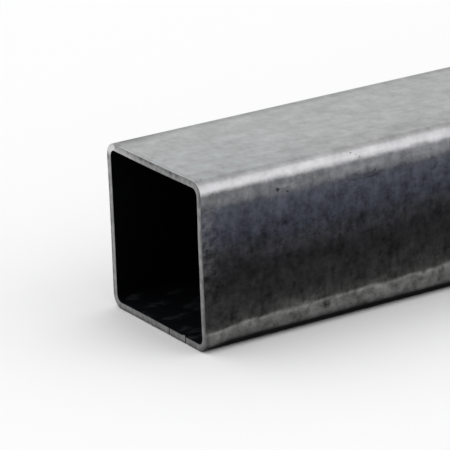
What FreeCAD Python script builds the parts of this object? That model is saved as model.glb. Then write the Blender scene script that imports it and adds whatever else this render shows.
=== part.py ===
import FreeCAD, Part
import os

# One length of square mild steel tube, lying on one of its flats: strip that
# was rolled round, seam welded, squeezed square between rolls and sawn off.
# Dimensions are in millimetres. X runs along the tube and Z is up. The origin
# is at the middle of the length, where the floor is, under the centreline.

# Driving dimensions
side = 50.8                # across the flats, 2 in
wall = 2.11                # 14 gauge strip, 0.083 in
length = 914.4             # a length that such tube is sold in, 36 in
corner_radius = 2 * wall   # outside radius of the rolled corners, twice the wall as is usual
edge_break = 0.3           # the sawn outer edges have lost this much of their corner
bead_width = 1.6           # weld bead left on the inside of the seam, at its foot
bead_height = 0.35         # how far the bead stands off the inner wall
bead_offset = -13.5        # where the seam runs on the bottom wall, along Y from its middle

# The flats of the section are numbered in the order in which the outline meets
# them, a quarter turn apart: +Y side, top, -Y side, bottom.
quarter_turns = [(1, 0), (0, 1), (-1, 0), (0, -1)]
bottom_flat = 3


def section_point(flat, along, out):
    """A point of the end section, given in one flat's own directions.

    along is measured from the middle of the flat in the outline's direction,
    and out from the tube's centreline towards the flat.
    """
    cosine, sine = quarter_turns[flat]
    across = out * cosine - along * sine
    up = out * sine + along * cosine
    return FreeCAD.Vector(-length / 2, across, side / 2 + up)


def flat_edges(flat, reach, out):
    """One plain flat, from -reach to +reach."""
    start = section_point(flat, -reach, out)
    end = section_point(flat, reach, out)
    return [Part.LineSegment(start, end).toShape()]


def seam_edges(flat, reach, out):
    """One flat with the low round bead of the weld standing in from it."""
    start = section_point(flat, -reach, out)
    foot = section_point(flat, bead_offset - bead_width / 2, out)
    crest = section_point(flat, bead_offset, out - bead_height)
    far_foot = section_point(flat, bead_offset + bead_width / 2, out)
    end = section_point(flat, reach, out)
    return [
        Part.LineSegment(start, foot).toShape(),
        Part.Arc(foot, crest, far_foot).toShape(),
        Part.LineSegment(far_foot, end).toShape(),
    ]


def corner_edge(flat, reach, out, radius):
    """The quarter round that follows a flat, tangent to it and to the next."""
    middle = reach + radius * 0.5 ** 0.5
    start = section_point(flat, reach, out)
    crown = section_point(flat, middle, middle)
    end = section_point(flat, out, reach)
    return Part.Arc(start, crown, end).toShape()


def outline(out, radius, seam_flat=None):
    """A closed rounded square. out is half its width, and one flat may hold the seam."""
    reach = out - radius
    edges = []
    for flat in range(4):
        if flat == seam_flat:
            edges += seam_edges(flat, reach, out)
        else:
            edges += flat_edges(flat, reach, out)
        edges.append(corner_edge(flat, reach, out, radius))
    return Part.Wire(edges)


def rolled_tube():
    """The hollow section, carried along the whole length."""
    outside = outline(side / 2, corner_radius)
    inside = outline(side / 2 - wall, corner_radius - wall, bottom_flat)
    section = Part.Face(outside).cut(Part.Face(inside)).Faces[0]
    return section.extrude(FreeCAD.Vector(length, 0, 0))


def is_outer_end_edge(edge):
    """True for the edges that lie in an end plane and on the outside of the tube."""
    box = edge.BoundBox
    in_end_plane = box.XLength < 0.001
    widest = max(abs(box.YMin), abs(box.YMax), box.ZMax - side / 2, side / 2 - box.ZMin)
    return in_end_plane and widest > side / 2 - wall / 2


def sawn_tube():
    """The tube with the sharp outer edge of both sawn ends knocked off."""
    tube = rolled_tube()
    edges = [edge for edge in tube.Edges if is_outer_end_edge(edge)]
    return tube.makeChamfer(edge_break, edges)


square_tube = sawn_tube()
os.makedirs("parts", exist_ok=True)
square_tube.exportStep("parts/square_tube.step")
print("square_tube: valid", square_tube.isValid(), "solids", len(square_tube.Solids),
      "volume mm3", round(square_tube.Volume, 1))
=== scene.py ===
import bpy
import math
import numpy as np
from mathutils import Matrix, Vector


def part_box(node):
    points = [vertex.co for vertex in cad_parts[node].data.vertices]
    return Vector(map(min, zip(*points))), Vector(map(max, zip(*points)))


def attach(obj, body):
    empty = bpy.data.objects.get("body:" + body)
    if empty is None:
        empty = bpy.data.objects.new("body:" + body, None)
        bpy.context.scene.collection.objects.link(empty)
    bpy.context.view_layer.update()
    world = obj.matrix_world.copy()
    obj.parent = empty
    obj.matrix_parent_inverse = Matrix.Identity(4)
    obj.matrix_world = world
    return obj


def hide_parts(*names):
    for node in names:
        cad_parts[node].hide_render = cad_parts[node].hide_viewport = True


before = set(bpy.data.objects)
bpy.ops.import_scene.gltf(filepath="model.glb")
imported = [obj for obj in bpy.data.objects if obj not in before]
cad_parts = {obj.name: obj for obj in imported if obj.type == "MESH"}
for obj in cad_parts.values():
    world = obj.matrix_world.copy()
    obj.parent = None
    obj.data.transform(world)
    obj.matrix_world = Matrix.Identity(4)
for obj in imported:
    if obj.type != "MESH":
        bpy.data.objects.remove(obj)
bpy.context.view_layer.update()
tubeLow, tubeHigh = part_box("square_tube")
mm = 0.001
scene = bpy.context.scene
scene.view_settings.view_transform = "Standard"
print("frame loaded, tube from", tuple(tubeLow), "to", tuple(tubeHigh))


class Value:
    # one node output that can be added, multiplied and so on, each time through a new Math node
    def __init__(self, finish, socket):
        self.finish = finish
        self.socket = socket

    def math(self, operation, first, second=None):
        return self.finish.add("ShaderNodeMath", {"operation": operation}, first, second)

    def __add__(self, other):
        return self.math("ADD", self, other)

    def __radd__(self, other):
        return self.math("ADD", other, self)

    def __sub__(self, other):
        return self.math("SUBTRACT", self, other)

    def __rsub__(self, other):
        return self.math("SUBTRACT", other, self)

    def __mul__(self, other):
        return self.math("MULTIPLY", self, other)

    def __rmul__(self, other):
        return self.math("MULTIPLY", other, self)

    def __abs__(self):
        return self.math("ABSOLUTE", self)

    def atLeast(self, other):
        return self.math("MAXIMUM", self, other)

    def rise(self, start, full):
        # 0 up to start, 1 from full on, and a smooth rise between; start may be the larger one
        return self.finish.add("ShaderNodeMapRange", {"interpolation_type": "SMOOTHSTEP"},
                               self, start, full)

    def softened(self, share):
        # the same where it is 1, and elsewhere only this share of the way from 1 to its value
        return 1 - (1 - self) * share


class Finish:
    # one material and the nodes in it
    def __init__(self, name):
        self.material = bpy.data.materials.new(name)
        self.material.use_nodes = True
        self.nodes = self.material.node_tree.nodes
        self.links = self.material.node_tree.links
        self.nodes.clear()

    def add(self, kind, settings=None, *inputs, out=0, **named):
        # a node of any kind: its settings first, then its sockets by place or by name
        node = self.nodes.new(kind)
        for key, value in (settings or {}).items():
            setattr(node, key, value)
        wanted = list(enumerate(inputs)) + list(named.items())
        for key, value in wanted:
            if isinstance(value, Value):
                self.links.new(value.socket, self.socket(node.inputs, key))
            elif value is not None:
                self.socket(node.inputs, key).default_value = value
        return Value(self, self.socket(node.outputs, out)) if len(node.outputs) else None

    def socket(self, sockets, key):
        if isinstance(key, int):
            return sockets[key]
        return next(s for s in sockets if key in (s.identifier, s.name, s.name.replace(" ", "")))

    def placeInMm(self):
        # where the point is on the piece, in millimetres, whole and as x, y, z
        metres = self.add("ShaderNodeTexCoord", out="Object")
        place = self.scale(metres, 1 / mm)
        parts = [self.add("ShaderNodeSeparateXYZ", None, place, out=i) for i in range(3)]
        return place, parts

    def scale(self, vector, factor):
        # a vector or a colour, times a number
        return self.add("ShaderNodeVectorMath", {"operation": "SCALE"}, vector, Scale=factor)

    def distance(self, first, second):
        settings = {"operation": "DISTANCE"}
        return self.add("ShaderNodeVectorMath", settings, first, second, out="Value")

    def grain(self, place, sizes, detail, rough, shift):
        # fractal noise about 0 to 1, whose patches measure sizes in mm along x, y and z
        squeezed = self.add("ShaderNodeVectorMath", {"operation": "MULTIPLY_ADD"}, place,
                            [1 / size for size in sizes], (shift, shift, shift))
        return self.add("ShaderNodeTexNoise", None, Vector=squeezed, Scale=1.0,
                        Detail=detail, Roughness=rough, out="Fac")

    def ramp(self, value, stops):
        # the colour for a value, straight between the stops, which are pairs of value and colour
        low, high = stops[0][0], stops[-1][0]
        share = (value - low) * (1 / (high - low))
        result = self.add("ShaderNodeValToRGB", None, share, out="Color")
        elements = result.socket.node.color_ramp.elements
        elements.remove(elements[1])
        for place, colour in stops[1:]:
            elements.new((place - low) / (high - low)).color = colour + (1,)
        elements[0].color = stops[0][1] + (1,)
        return result

    def blend(self, share, first, second):
        # the first colour where share is 0, the second where it is 1
        return self.add("ShaderNodeMix", {"data_type": "RGBA"}, Factor_Float=share,
                        A_Color=first, B_Color=second, out="Result_Color")

    def close(self, surface):
        self.add("ShaderNodeOutputMaterial", None, Surface=surface)
        return self.material


tubeForm = {
    "wall": 2.11 * mm,
    "outerRadius": 4.22 * mm,
    "innerRadius": 2.11 * mm,
    "edgeBreak": 0.3 * mm,        # the sawn ends' outer edge is rounded by this much
    "innerEdge": 0.12 * mm,       # and their inner edge
    "beadOffset": -13.5 * mm,     # weld bead on the bottom wall, from its middle
    "beadWidth": 1.6 * mm,
    "beadHeight": 0.35 * mm,
    "beadPitch": 2.3 * mm,        # from ripple to ripple along the bead
    "rippleDepth": 0.2,           # as a share of the bead's height, each way
    "rippleBow": 1.2,             # how much the ripples trail at the bead's sides, in radians
    "sag": 0.08 * mm,             # the flats are hollow by this much in the middle
    "wander": 0.08 * mm,          # and move in and out by up to this much along the tube
    "wanderWaves": (7, 16, 30 * mm, 300 * mm),    # seed, how many, the shortest, the longest
    "wanderStrips": (310 * mm, 30 * mm),          # on the waves, from flat to flat, half a flat
    "unevenCut": 0.07 * mm,       # the saw left the near end uneven by this much
    "cutWaves": (3, 12, 4 * mm, 30 * mm),
    "cutFades": 0.7 * mm,         # the cut's marks fade over this much of the length
    # nicks in the near end's bottom rim: from the middle, half width, depth
    "nicks": [(-14.2 * mm, 0.16 * mm, 0.35 * mm), (-5.5 * mm, 0.14 * mm, 0.25 * mm)],
    # how many faces: across a flat, round a corner, along the tube, round a sawn edge, across
    # the sawn face, across the bead, across a nick
    "flatSteps": 40,
    "cornerSteps": 14,
    "lengthSteps": 160,
    "edgeSteps": 5,
    "faceSteps": 6,
    "beadSteps": 12,
    "nickSteps": 6,
    "crowding": 0.7,              # 0 spaces the rings evenly, 1 crowds them most at the ends
    # extra points just beside the round stretches keep the flats' shading flat: a ring behind each
    # sawn edge, a row by each corner, as a share of half the flat, and rings on the sawn face
    "besideEdge": 0.12 * mm,
    "besideCorner": 0.008,
    "besideFace": (0.05 * mm, 0.04 * mm),
}


def planeWaves(a, b, seed, count, shortest, longest):
    # the sum of waves that run in random directions over the a, b plane, each with its own
    # length and phase. It is divided by what such a sum seldom passes, the root of 1.6 times the
    # count, and kept within -1 and 1
    dice = np.random.default_rng(seed)
    total = 0
    for turn, phase, size in dice.uniform(0, 1, (count, 3)):
        period = shortest * (longest / shortest) ** size
        travel = a * math.cos(turn * 2 * math.pi) + b * math.sin(turn * 2 * math.pi)
        total = total + np.sin(travel * 2 * math.pi / period + phase * 2 * math.pi)
    return np.clip(total / math.sqrt(count * 1.6), -1, 1)


def sectionTurn(form, half):
    # one turn round the section, anticlockwise from the +Y side: each flat, then the quarter round
    # after it. Every row holds: which flat, share along it (-1 to 1), angle round the corner, and
    # the distance from the flat's middle, which is where the bead and the nicks are looked up
    reach = half - form["outerRadius"]
    plain = np.linspace(-1, 1, form["flatSteps"] + 1)
    plain = np.union1d(plain, [form["besideCorner"] - 1, 1 - form["besideCorner"]])
    beadSpread = np.linspace(-0.6, 0.6, form["beadSteps"] + 1)     # in widths of the bead
    nickSpread = np.linspace(-1.5, 1.5, form["nickSteps"] + 1)     # in half widths of the nick
    extra = [form["beadOffset"] + beadSpread * form["beadWidth"]]
    extra += [place + nickSpread * width for place, width, deep in form["nicks"]]
    bottom = np.union1d(plain, np.concatenate(extra) / reach)
    rounds = np.linspace(0, math.pi / 2, form["cornerSteps"] + 1)[1:-1]
    rows = []
    for flat in range(4):
        spots = bottom if flat == 3 else plain
        share = np.concatenate([spots, np.ones(len(rounds))])
        angle = np.concatenate([0 * spots, rounds])
        rows.append(np.stack([np.full(len(share), float(flat)), share, angle, share * reach], 1))
    return np.concatenate(rows).T[:, :, None]


def roundedSquare(flat, share, angle, half, radius):
    # a point of a rounded square and its outward normal: on a flat it is share of the way from
    # the flat's middle to the corner, and past that it is on the corner's arc, at angle
    reach = half - radius
    out = reach + radius * np.cos(angle)
    along = share * reach + radius * np.sin(angle)
    turn = flat * math.pi / 2
    cosine, sine = np.round(np.cos(turn)), np.round(np.sin(turn))
    point = [out * cosine - along * sine, out * sine + along * cosine]
    normal = [np.cos(angle) * cosine - np.sin(angle) * sine,
              np.cos(angle) * sine + np.sin(angle) * cosine]
    return np.stack(point), np.stack(normal)


def rings(form, low, high, edge):
    # where the rings of one skin are along the tube, between its two rounded edges: partly even
    # and partly as a cosine, which crowds them at the ends
    even = np.linspace(0, 1, form["lengthSteps"] + 1)
    crowded = 0.5 - 0.5 * np.cos(math.pi * even)
    share = (1 - form["crowding"]) * even + form["crowding"] * crowded
    beside = edge + form["besideEdge"]
    return np.union1d(low + edge + (high - low - 2 * edge) * share, [low + beside, high - beside])


def wallTurn(form, low, high):
    # one turn round the wall where it is cut lengthwise: out along the outer skin, over the far
    # end, back along the inner skin, over the near end. Gives x and the depth into the wall
    # (0 outside, 1 inside)
    outer, inner, wall = form["edgeBreak"], form["innerEdge"], form["wall"]
    skin = rings(form, low, high, outer)
    bore = rings(form, low, high, inner)[::-1]
    # the end, as the distance back from the end plane and the distance into the wall
    quarter = np.linspace(0, math.pi / 2, form["edgeSteps"] + 1)[1:-1]
    face = np.linspace(outer, wall - inner, form["faceSteps"] + 1)
    besideOuter, besideInner = form["besideFace"]
    face = np.union1d(face, [outer + besideOuter, wall - inner - besideInner])
    end = np.concatenate([
        np.stack([outer - outer * np.sin(quarter), outer - outer * np.cos(quarter)], 1),
        np.stack([0 * face, face], 1),
        np.stack([inner - inner * np.cos(quarter), wall - inner + inner * np.sin(quarter)], 1)])
    far = np.stack([high - end[:, 0], end[:, 1]], 1)
    near = np.stack([low + end[:, 0], end[:, 1]], 1)[::-1]
    turn = np.concatenate([np.stack([skin, 0 * skin], 1), far,
                           np.stack([bore, 0 * bore + wall], 1), near])
    return turn[None, :, 0], turn[None, :, 1] / wall


def closedGrid(name, x, y, z):
    # a surface whose grid of points joins up with itself both ways
    points = np.stack(np.broadcast_arrays(x, y, z), 2)
    rows, columns = points.shape[:2]
    i, j = np.meshgrid(np.arange(rows), np.arange(columns), indexing="ij")
    nextI, nextJ = (i + 1) % rows, (j + 1) % columns
    faces = np.stack([i * columns + j, nextI * columns + j,
                      nextI * columns + nextJ, i * columns + nextJ], 2)
    mesh = bpy.data.meshes.new(name)
    mesh.from_pydata(points.reshape(-1, 3), [], faces.reshape(-1, 4))
    mesh.polygons.foreach_set("use_smooth", np.ones(len(mesh.polygons), bool))
    mesh.update()
    piece = bpy.data.objects.new(name, mesh)
    scene.collection.objects.link(piece)
    print(name, "made,", rows, "by", columns, "points")
    return piece


def makeTube(name, form, low, high):
    # the section's two outlines are joined straight across the wall, and the wall's cut outline
    # is carried round them: a closed surface of two turns
    half, middle = (high.y - low.y) / 2, (high.z + low.z) / 2
    flat, share, angle, offset = sectionTurn(form, half)
    x, depth = wallTurn(form, low.x, high.x)
    outside, normal = roundedSquare(flat, share, angle, half, form["outerRadius"])
    inside, _ = roundedSquare(flat, share, angle, half - form["wall"], form["innerRadius"])
    # both skins move together: a shallow hollow in each flat and a slow wander along the tube,
    # for which each flat reads its own strip of the waves
    slack = (1 - share ** 2) * (angle == 0)
    nextFlat, halfFlat = form["wanderStrips"]
    wander = planeWaves(x, flat * nextFlat + share * halfFlat, *form["wanderWaves"])
    push = slack * (form["sag"] + form["wander"] * (0.5 + 0.5 * wander))
    # the bead is a low arch on the inner skin, lower between its ripples, and the push that makes
    # it dies out within the inner quarter of the wall
    onBottom = flat == 3
    seam = (offset - form["beadOffset"]) / (form["beadWidth"] / 2)
    arch = np.clip(1 - seam ** 2, 0, 1) * onBottom
    wave = np.sin(x * 2 * math.pi / form["beadPitch"] + form["rippleBow"] * seam ** 2)
    ripple = 1 + form["rippleDepth"] * (wave - 1)
    push = push + form["beadHeight"] * arch * ripple * np.clip(depth * 4 - 3, 0, 1)
    y = outside[0] + (inside[0] - outside[0]) * depth - normal[0] * push
    z = middle + outside[1] + (inside[1] - outside[1]) * depth - normal[1] * push
    # nicks are narrow notches in the near end, and the saw left it a little uneven
    nearness = np.clip(1 - (x - low.x) / form["cutFades"], 0, 1)
    notch = sum(deep * np.exp(-((offset - place) / width) ** 2)
                for place, width, deep in form["nicks"])
    rough = form["unevenCut"] * (0.5 + 0.5 * planeWaves(y, z, *form["cutWaves"]))
    return closedGrid(name, x + nearness * (notch * onBottom + rough), y, z)


tube = makeTube("steel_tube", tubeForm, tubeLow, tubeHigh)

steelLook = {
    # the skin's colour by height above the floor in mm, at most 32 of them. It holds painted light
    # and shade as well as the steel's own colour
    "skin": [
        # painted shadow on the underside, then a painted reflection of the floor along the lower
        # corner
        (0.0, (0.008, 0.008, 0.008)), (2.5, (0.008, 0.008, 0.008)),
        (3.5, (0.112, 0.112, 0.110)), (4.5, (0.138, 0.138, 0.135)),
        (6.2, (0.152, 0.152, 0.147)), (7.2, (0.205, 0.205, 0.199)),
        # the side, nearly black low down and bluish higher up: bluish scale under painted shade and
        # painted reflection
        (8.2, (0.062, 0.062, 0.059)), (9.5, (0.040, 0.040, 0.039)),
        (12.5, (0.027, 0.027, 0.0275)), (16.0, (0.0215, 0.0212, 0.0213)),
        (20.0, (0.0170, 0.0170, 0.0180)), (24.5, (0.019, 0.019, 0.0205)),
        (28.5, (0.032, 0.0323, 0.037)), (32.5, (0.036, 0.0385, 0.050)),
        (36.5, (0.050, 0.053, 0.071)), (40.5, (0.066, 0.070, 0.091)),
        (42.4, (0.076, 0.080, 0.097)),
        # a grey band of painted reflection
        (43.6, (0.118, 0.121, 0.132)), (45.0, (0.160, 0.162, 0.169)),
        (46.4, (0.150, 0.152, 0.159)), (46.85, (0.165, 0.166, 0.174)),
        # a painted highlight along the upper corner
        (47.25, (0.280, 0.281, 0.291)), (47.6, (0.43, 0.43, 0.443)),
        (48.0, (0.55, 0.55, 0.565)), (48.6, (0.54, 0.54, 0.555)),
        (49.0, (0.505, 0.505, 0.52)), (49.6, (0.53, 0.53, 0.54)),
        (49.75, (0.52, 0.52, 0.53)), (50.05, (0.44, 0.44, 0.445)),
        # top
        (50.4, (0.37, 0.37, 0.373)), (50.7, (0.375, 0.375, 0.377)),
        (50.8, (0.470, 0.473, 0.475)),
    ],
    "coolTop": (0.945, 0.995, 0.99, 1),     # a faint cast in patches of the top, near the ends
    "handled": (0.115, 0.116, 0.118, 1),    # handled skin next to the sawn ends
    "pit": (0.010, 0.010, 0.012, 1),
    # the colour of the painted shade in a broken line just behind the sawn edge
    "dirtLine": (0.07, 0.07, 0.07, 1),      # a broken line just behind the sawn edge
    "sawn": (0.205, 0.205, 0.205),
    "burr": (0.62, 0.62, 0.63, 1),          # a painted glint, as off a burr, where one corner was cut last
    # the bore is painted near black: painted shade inside the tube
    "bore": (0.009, 0.010, 0.012, 1),
    "scraped": (0.05, 0.053, 0.06, 1),      # worn marks, and painted light from the open end, on the floor of the bore near the ends
    "bigPits": [(25.6, 43.9, 0.75), (28.9, 42.7, 0.5)],   # from the near end, height, radius, in mm
    "burrPlace": (1.8, 0.8),                # where the painted glint is: in from the +Y side and down from the top, in mm
    # noises: the size of their patches along x, y and z in mm, detail, roughness, shift
    "grains": {
        "streaks": ((38, 1.6, 1.6), 3, 0.55, 0.0),
        "mottle": ((1.8, 2.7, 1.6), 3, 0.6, 3.0),
        "blotch": ((5.5, 5.0, 4.0), 3, 0.55, 8.0),
        "cloud": ((22, 9, 8), 2, 0.5, 11.0),
        "drift": ((12, 6, 5), 1, 0.5, 5.0),
        "patches": ((90, 30, 30), 2, 0.5, 31.0),
        "scuffs": ((7, 2.5, 1.5), 2, 0.5, 29.0),
        "rubbing": ((1.7, 4.5, 5), 2, 0.5, 14.0),
        "veins": ((5, 3, 2.2), 2, 0.5, 17.0),
        "pitting": ((0.9, 0.8, 0.8), 1, 0.5, 21.0),
        "sawTeeth": ((1, 2.2, 2.6), 2, 0.6, 0.0),
        "scraping": ((9, 5, 5), 3, 0.6, 25.0),
    },
    # how far, in mm, the limits between the skin's colours move up and down
    "shifts": {"mottle": 0.4, "blotch": 0.8, "pastEnd": 0.3, "cloud": 8, "drift": 2,
               "foot": 0.6, "footAtEnd": 0.9},
    # zones that fade in: what each goes by, where it is 0 and where it is 1. It goes by one of
    # the measures of TubeSpot, which are distances in mm, or by a noise. 25.4 is half the side
    "zones": {
        # regions of the section
        "flat": ("fromLevel", 4.6, 8.0),          # a side, away from its corners
        "topFace": ("fromTop", 0.6, 0.1),
        "topFlat": ("fromSide", 3.8, 4.4),
        "upperHalf": ("fromTop", 25.4, 6),
        "belowTop": ("fromTop", 1.2, 3),
        "towardsTop": ("fromTop", 25.4, 1),
        "leftHalf": ("fromLeft", 25.4, 6),
        "lowerSide": ("height", 42, 32),
        "lowSide": ("height", 12, 9),
        "footLimit": ("height", 14, 10),
        "foot": ("height", 9, 7),
        "footCorner": ("height", 9, 6),
        "underside": ("height", 3, 2),
        # the scale is calmer in its upper part, and ends below the grey band
        "calmer": ("height", 34, 40),
        "scaleTop": ("colourHeight", 43.5, 41),
        "bandBottom": ("colourHeight", 42.5, 44.5),
        "bandTop": ("colourHeight", 47.6, 46.6),
        # stretches of the length
        "farIn": ("fromEnd", 0, 130),
        "pastEnd": ("fromEnd", 10, 36),
        "footEnd": ("fromEnd", 9, 3),
        "middle": ("fromEnd", 90, 160),
        # on the top: painted shade along its left edge, in patches by its left corner and in strips
        # by both edges near the ends, darker towards its right edge, and marks
        "leftEdge": ("fromLeft", 8, 3),
        "rightEdge": ("fromLeft", 31.4, 42.4),
        "leftCorner": ("fromLeft", 11, 6),
        "leftCornerEnd": ("fromEnd", 16, 6),
        "leftCornerPatches": ("mottle", 0.3, 0.7),
        "coolEnd": ("fromEnd", 50, 15),
        "coolSide": ("fromLeft", 17.4, 27.4),
        "coolPatches": ("blotch", 0.4, 0.6),
        # painted shade in a strip by each edge of the top, near the ends
        "rimSide": ("fromSide", 5.5, 3.5),
        "rimTop": ("fromTop", 1, 0.5),
        "rimEnd": ("fromEnd", 30, 10),
        # marks on the sides
        "handledEnd": ("fromEnd", 7, 1.5),
        "handledHeight": ("height", 10, 40),
        "handledPatches": ("mottle", 0.3, 0.65),
        "scuffMarks": ("scuffs", 0.58, 0.72),
        "scuffEnd": ("fromEnd", 12, 30),
        "veinLines": ("fromVein", 0.03, 0.005),
        "veinClouds": ("cloud", 0.5, 0.6),
        "pits": ("pitting", 0.74, 0.82),
        # the sawn edge, and the painted shade just behind it
        "sawnEdge": ("fromEnd", 0.4, 0.25),
        "sawnEdgeGaps": ("mottle", 0.6, 0.4),
        "dirtStart": ("fromEnd", 0.2, 0.4),
        "dirtEnd": ("fromEnd", 1.9, 0.6),
        "dirt": ("mottle", 0.5, 0.6),
        "dirtBlotch": ("blotch", 0.45, 0.6),
        # the sawn face
        "sawnFace": ("fromEnd", 0.16, 0.06),
        "sawMarks": ("sawTeeth", 0.3, 0.7),
        "rubbed": ("rubbedDepth", 0.6, 1.3),
        "outerRim": ("depth", 1.1, 0.3),
        "innerRim": ("depth", 1.4, 1.7),
        "leftRim": ("fromLeft", 4, 2.5),
        "topRim": ("fromTop", 25.4, 3),
        # painted shade on the outer part of the top rim, in patches
        "rimDirt": ("depth", 1.7, 0.9),
        "rimSmudges": ("blotch", 0.42, 0.6),
        # painted light over the upper left of the sawn face, by the glint
        "brightSide": ("fromLeft", 21.4, 7),
        "brightTop": ("fromTop", 25.4, 4),
        # the painted glint at one corner of the near end
        "burr": ("fromBurr", 3.6, 1.4),
        # the inside, painted near black as shade
        "bore": ("depth", 1.688, 2.0045),
        "boreFloor": ("height", 4.61, 2.61),
        "scrapes": ("scraping", 0.5, 0.68),
        "scrapeEnd": ("fromEnd", 32, 5),
    },
    # how much the noises make these edges ragged, in mm, or for a pit in radii
    "ragged": {"rubbed": 0.5, "burr": 2.5, "pit": 1.0},
    # how patchy the top's marks are, how coarse the marks are on the foot and the band, where the
    # sides have 1, and how much finer they are on the calmer part
    "patchiness": 0.6,
    "coarseness": {"foot": 1.1, "band": 0.9, "calmer": 0.35},
    # what each mark adds to the brightness of the skin, which is 1 without them
    "skinTones": {
        "streaks": 0.2, "mottle": 0.5, "coarseMottle": 1.1, "blotch": 0.6, "coarseBlotch": 0.9,
        "rubbing": 1.2, "leftEdge": -0.25, "rightEdge": -0.07, "bandFarIn": 0.6, "scuffs": 0.3,
        "rims": -0.1, "leftCorner": -0.28, "sawnEdge": 0.2, "veins": -0.35,
    },
    "darkest": 0.2,           # they leave it at least this
    "middlePatches": 0.7,     # slow changes of brightness along the middle of the tube
    # how far each of these covers the skin
    "cover": {"handled": 0.55, "pits": 0.75, "burr": 0.8, "dirt": 0.28, "dirtLeft": 0.24,
              "dirtBlotch": 0.08, "dirtFoot": 0.6},
    # the sawn face's brightness, and what each mark adds to it
    "sawnBrightness": 0.55,
    "sawnTones": {
        "sawMarks": 0.5, "rubbed": 0.36, "rubbedTop": -0.1, "leftRim": 0.12, "dull": -0.3,
        "dullLeft": 0.25, "dullTop": 0.2, "topDirt": -0.25, "topInner": 0.12,
        "bright": 0.9, "brightLeft": -0.63, "burr": 1.6,
    },
    "roughness": 0.37,
    "roughTones": {"mottle": 0.2, "bore": 0.15, "underside": 0.5},
    # what each mark adds to the relief, as a share of its height in metres
    "relief": {"streaks": 0.4, "mottle": 0.4, "blotch": 0.4, "pits": -0.8, "veins": -1.2},
    "reliefHeight": 0.00014,
    "reliefStrength": 0.4,
}


class TubeSpot:
    # a point of the tube as its finish sees it: distances in mm, noises, and zones that fade in.
    # Left is the +Y side
    def __init__(self, finish, look, form, low, high):
        self.finish = finish
        self.look = look
        self.place, (x, y, z) = finish.placeInMm()
        self.half = (high.y - low.y) / 2 / mm
        self.endX = high.x / mm
        # how far the point is outside the square that joins the centres of the corners' rounds
        radius = form["outerRadius"] / mm
        toLevel = abs(z - self.half)
        overSide = (abs(y) - (self.half - radius)).atLeast(0)
        overLevel = (toLevel - (self.half - radius)).atLeast(0)
        corner = finish.add("ShaderNodeCombineXYZ", None, overSide, overLevel)
        fromArc = finish.add("ShaderNodeVectorMath", {"operation": "LENGTH"}, corner, out="Value")
        self.measures = {
            "height": z,                         # above the floor
            "fromTop": 2 * self.half - z,
            "fromLevel": self.half - toLevel,    # from the top's plane or the floor
            "fromLeft": self.half - y,
            "fromSide": self.half - abs(y),      # from the nearer side
            "fromEnd": self.endX - abs(x),       # from the nearer sawn end
            "depth": radius - fromArc,           # into the wall, from its outer skin
        }
        for name, how in look["grains"].items():
            self.measures[name] = finish.grain(self.place, *how)
        self.zones = {}
        # measures that are made ragged or moved by the noises
        ragged = look["ragged"]
        # where the painted glint is centred, with a ragged edge
        inward, down = look["burrPlace"]
        glintAt = (-self.endX, self.half - inward, 2 * self.half - down)
        self.measures["fromBurr"] = (finish.distance(self.place, glintAt)
                                     + self.noise("mottle") * ragged["burr"])
        self.measures["rubbedDepth"] = (self.measures["depth"]
                                        + (self.zone("sawMarks") - 0.5) * ragged["rubbed"])
        self.measures["fromVein"] = abs(self.noise("veins"))    # a vein is where the noise is 0.5
        self.measures["colourHeight"] = skinHeight(self, look["shifts"])

    def noise(self, name):
        # a noise about 0
        return self.measures[name] - 0.5

    def zone(self, first, *others):
        # the product of the named zones
        if first not in self.zones:
            measure, start, full = self.look["zones"][first]
            self.zones[first] = self.measures[measure].rise(start, full)
        return self.zones[first] * self.zone(*others) if others else self.zones[first]


def marked(base, amounts, marks):
    # the base, and each mark times its amount
    return sum((mark * amounts[name] for name, mark in marks.items()), base)


def skinHeight(spot, shifts):
    # the height that a point's colour is looked up at: its own, moved up or down where the
    # colours change over, so that their limits wander along the tube. The whole top flat reads
    # the last colour, also where it is a little hollow
    drift = spot.noise("drift")
    upper = marked(0, shifts, {"mottle": spot.noise("mottle"), "blotch": spot.noise("blotch"),
                               "pastEnd": spot.zone("pastEnd")})
    side = marked(0, shifts, {"cloud": spot.noise("cloud") * spot.zone("lowerSide"),
                              "drift": drift})
    foot = marked(0, shifts, {"foot": drift * spot.zone("lowSide"),
                              "footAtEnd": spot.zone("footEnd", "footLimit")})
    return (spot.measures["height"] + upper * spot.zone("upperHalf", "belowTop")
            + side * spot.zone("flat") + foot + spot.zone("topFlat", "towardsTop"))


def pitsOf(spot, look):
    # small pits all over, and the larger ones that one side has near the end: those are full to
    # half their radius and end a little past it
    pits = spot.zone("pits")
    for along, up, radius in look["bigPits"]:
        gap = spot.finish.distance(spot.place, (along - spot.endX, -spot.half, up))
        gap = gap + spot.noise("mottle") * (radius * look["ragged"]["pit"])
        pits = pits.atLeast(gap.rise(radius * 1.1, radius * 0.5))
    return pits


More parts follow.
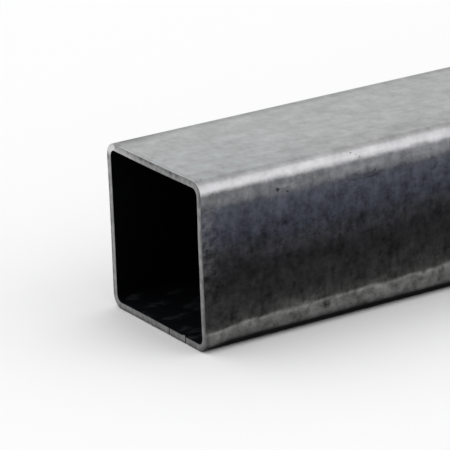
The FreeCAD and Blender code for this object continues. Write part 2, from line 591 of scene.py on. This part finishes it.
def skinColour(spot, look, pits, veins):
    # the skin: its colour by height, with painted light and shade in it, under the marks of
    # rolling, handling and storage, and under painted shade and a painted glint
    finish, cover = spot.finish, look["cover"]
    mottle, blotch = spot.noise("mottle"), spot.noise("blotch")
    colour = finish.ramp(spot.measures["colourHeight"], look["skin"])
    handled = spot.zone("handledEnd", "handledPatches", "handledHeight", "flat")
    colour = finish.blend(handled * cover["handled"], colour, look["handled"])
    # the marks are coarse on the sides, the foot and the band, and fine on the top
    coarseness = look["coarseness"]
    flat, band = spot.zone("flat"), spot.zone("bandBottom", "bandTop")
    calm = 1 - spot.zone("calmer") * coarseness["calmer"]
    coarse = flat.atLeast(spot.zone("foot") * coarseness["foot"])
    coarse = coarse.atLeast(band * coarseness["band"]) * calm
    leftCorner = spot.zone("leftCornerPatches").softened(look["patchiness"])
    shade = marked(1, look["skinTones"], {
        "streaks": spot.noise("streaks"),
        "mottle": mottle,
        "coarseMottle": mottle * coarse,
        "blotch": blotch,
        "coarseBlotch": blotch * coarse,
        "rubbing": spot.noise("rubbing") * flat.atLeast(band) * calm,
        # painted shade along the top's left edge
        "leftEdge": spot.zone("leftEdge", "topFace"),
        "rightEdge": spot.zone("rightEdge", "topFace"),
        # the grey band of painted reflection is lighter farther in
        "bandFarIn": band * spot.zone("farIn"),
        "scuffs": band * spot.zone("scuffMarks", "scuffEnd"),
        # painted shade in a strip by each edge of the top, near the ends
        "rims": spot.zone("rimSide", "rimTop", "rimEnd"),
        # painted shade in patches by the top's left corner near the end
        "leftCorner": leftCorner * spot.zone("leftCorner", "leftCornerEnd", "topFace"),
        "sawnEdge": spot.zone("sawnEdge", "sawnEdgeGaps", "topFace"),
        "veins": veins})
    colour = finish.scale(colour, shade.atLeast(look["darkest"]))
    cool = spot.zone("coolPatches").softened(look["patchiness"])
    cool = cool * spot.zone("coolSide", "coolEnd", "topFace")
    cast = finish.blend(cool, (1, 1, 1, 1), look["coolTop"])
    colour = finish.add("ShaderNodeVectorMath", {"operation": "MULTIPLY"}, colour, cast)
    patches = spot.noise("patches") * spot.zone("middle") * look["middlePatches"]
    colour = finish.scale(colour, 1 + patches)
    colour = finish.blend(pits * cover["pits"], colour, look["pit"])
    # painted shade: a dark broken line just behind the sawn edge, on the top and along the lower
    # corner
    dirt = marked(0, cover, {
        "dirt": spot.zone("dirt", "topFace"),
        "dirtLeft": spot.zone("dirt", "leftHalf", "topFace"),
        "dirtBlotch": spot.zone("dirtBlotch", "topFace"),
        "dirtFoot": spot.zone("footCorner")})
    colour = finish.blend(dirt * spot.zone("dirtStart", "dirtEnd"), colour, look["dirtLine"])
    # a painted glint at one corner of the near end
    return finish.blend(spot.zone("burr") * cover["burr"], colour, look["burr"])


def sawnColour(spot, look):
    # the sawn face is rubbed bright towards the inside, with painted shade along its outer edge,
    # most on the bottom and right, painted shade on the outer part of its top rim, and painted
    # light at its upper left by the glint
    sawMarks, leftRim, topRim = spot.zone("sawMarks"), spot.zone("leftRim"), spot.zone("topRim")
    # painted shade along the outer edge of the sawn face, taken back on its left and top rims
    dull = spot.zone("outerRim") * sawMarks
    # painted light over the upper left of the sawn face, by the glint
    bright = spot.zone("brightSide", "brightTop")
    shade = marked(look["sawnBrightness"], look["sawnTones"], {
        "sawMarks": sawMarks,
        "rubbed": spot.zone("rubbed"),
        "rubbedTop": spot.zone("rubbed") * topRim,
        "leftRim": leftRim,
        "dull": dull,
        "dullLeft": dull * leftRim,
        "dullTop": dull * topRim,
        # painted shade along the outer part of the top rim, in patches
        "topDirt": spot.zone("rimDirt", "rimSmudges") * topRim,
        "topInner": spot.zone("innerRim") * topRim,
        "bright": bright,
        "brightLeft": bright * leftRim,
        # the painted glint reaches onto the sawn face
        "burr": spot.zone("burr")})
    return spot.finish.scale(look["sawn"], shade)


def millSteel(look, form, low, high):
    # the skin, then the inside, painted near black as shade, and over both the sawn face
    finish = Finish("mill_steel")
    spot = TubeSpot(finish, look, form, low, high)
    pits = pitsOf(spot, look)
    veins = spot.zone("veinLines", "veinClouds", "flat", "scaleTop")
    # worn marks and painted light from the open end on the floor of the bore
    scraped = spot.zone("scrapes", "scrapeEnd", "boreFloor")
    bore = finish.blend(scraped, look["bore"], look["scraped"])
    colour = finish.blend(spot.zone("bore"), skinColour(spot, look, pits, veins), bore)
    colour = finish.blend(spot.zone("sawnFace"), colour, sawnColour(spot, look))
    roughness = marked(look["roughness"], look["roughTones"], {
        "mottle": spot.noise("mottle"),
        "bore": spot.zone("bore"),
        "underside": spot.zone("underside") * (1 - spot.zone("sawnFace"))})
    relief = marked(0, look["relief"], {
        "streaks": spot.noise("streaks"),
        "mottle": spot.noise("mottle"),
        "blotch": spot.noise("blotch"),
        "pits": pits,
        "veins": veins})
    bump = finish.add("ShaderNodeBump", None, Strength=look["reliefStrength"],
                      Distance=look["reliefHeight"], Height=relief, out="Normal")
    surface = finish.add("ShaderNodeBsdfPrincipled", None, BaseColor=colour, Metallic=1.0,
                         Roughness=roughness, Normal=bump, out="BSDF")
    return finish.close(surface)


tube.data.materials.append(millSteel(steelLook, tubeForm, tubeLow, tubeHigh))
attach(tube, "root")
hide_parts("square_tube")
print("steel finish on")

studio = {
    "floorSize": 60.0,
    "floor": (0.96, 0.96, 0.96, 1),
    "room": (0.78, 0.78, 0.785, 1),
    # soft lamps far away: where each stands as x, y, z, how wide it looks in degrees, strength
    "lamps": {"back": ((-0.06, 0.33, 0.94), 66, 0.62), "side": ((0.467, -0.655, 0.594), 50, 0.35)},
}


def makeStudio(plan):
    reach = plan["floorSize"] / 2
    mesh = bpy.data.meshes.new("floor")
    corners = [(-reach, -reach, 0), (reach, -reach, 0), (reach, reach, 0), (-reach, reach, 0)]
    mesh.from_pydata(corners, [], [(0, 1, 2, 3)])
    floor = bpy.data.objects.new("floor", mesh)
    scene.collection.objects.link(floor)
    paint = Finish("pale_floor")
    shader = paint.add("ShaderNodeBsdfDiffuse", None, Color=plan["floor"])
    mesh.materials.append(paint.close(shader))
    room = bpy.data.worlds.new("pale_room")
    room.use_nodes = True
    room.node_tree.nodes["Background"].inputs["Color"].default_value = plan["room"]
    scene.world = room
    for name, (side, width, strength) in plan["lamps"].items():
        data = bpy.data.lights.new(name, "SUN")
        data.angle, data.energy = math.radians(width), strength
        lamp = bpy.data.objects.new(name, data)
        lamp.location = side
        lamp.rotation_euler = Vector(side).to_track_quat("Z", "Y").to_euler()
        scene.collection.objects.link(lamp)


makeStudio(studio)
print("floor, room and lamps set up")

cameraPlan = {
    "lens": 280.0,
    "heading": 58.078,      # degrees from +X towards +Y
    "dip": 19.237,          # degrees below level
    "roll": -2.150,
    "distance": 0.9968,     # from the middle of the near end, in metres
    "right": 0.01998,       # and how far the camera stands to the right of it
    "up": 0.00544,          # and above
    "farthest": 200,        # it sees things up to here
}


def makeCamera(plan, target):
    heading, dip, roll = [math.radians(plan[key]) for key in ("heading", "dip", "roll")]
    ahead = Vector((math.cos(heading) * math.cos(dip),
                    math.sin(heading) * math.cos(dip),
                    -math.sin(dip)))
    right = Vector((math.sin(heading), -math.cos(heading), 0))
    up = right.cross(ahead)
    place = target - ahead * plan["distance"] + right * plan["right"] + up * plan["up"]
    tilted = right * math.cos(roll) + up * math.sin(roll)
    data = bpy.data.cameras.new("camera")
    data.lens = plan["lens"]
    data.clip_end = plan["farthest"]
    camera = bpy.data.objects.new("camera", data)
    turn = Matrix((tilted, tilted.cross(ahead), -ahead)).transposed().to_4x4()
    camera.matrix_world = Matrix.Translation(place) @ turn
    scene.collection.objects.link(camera)
    scene.camera = camera
    print("camera set")


makeCamera(cameraPlan, Vector((tubeLow.x, 0, (tubeLow.z + tubeHigh.z) / 2)))
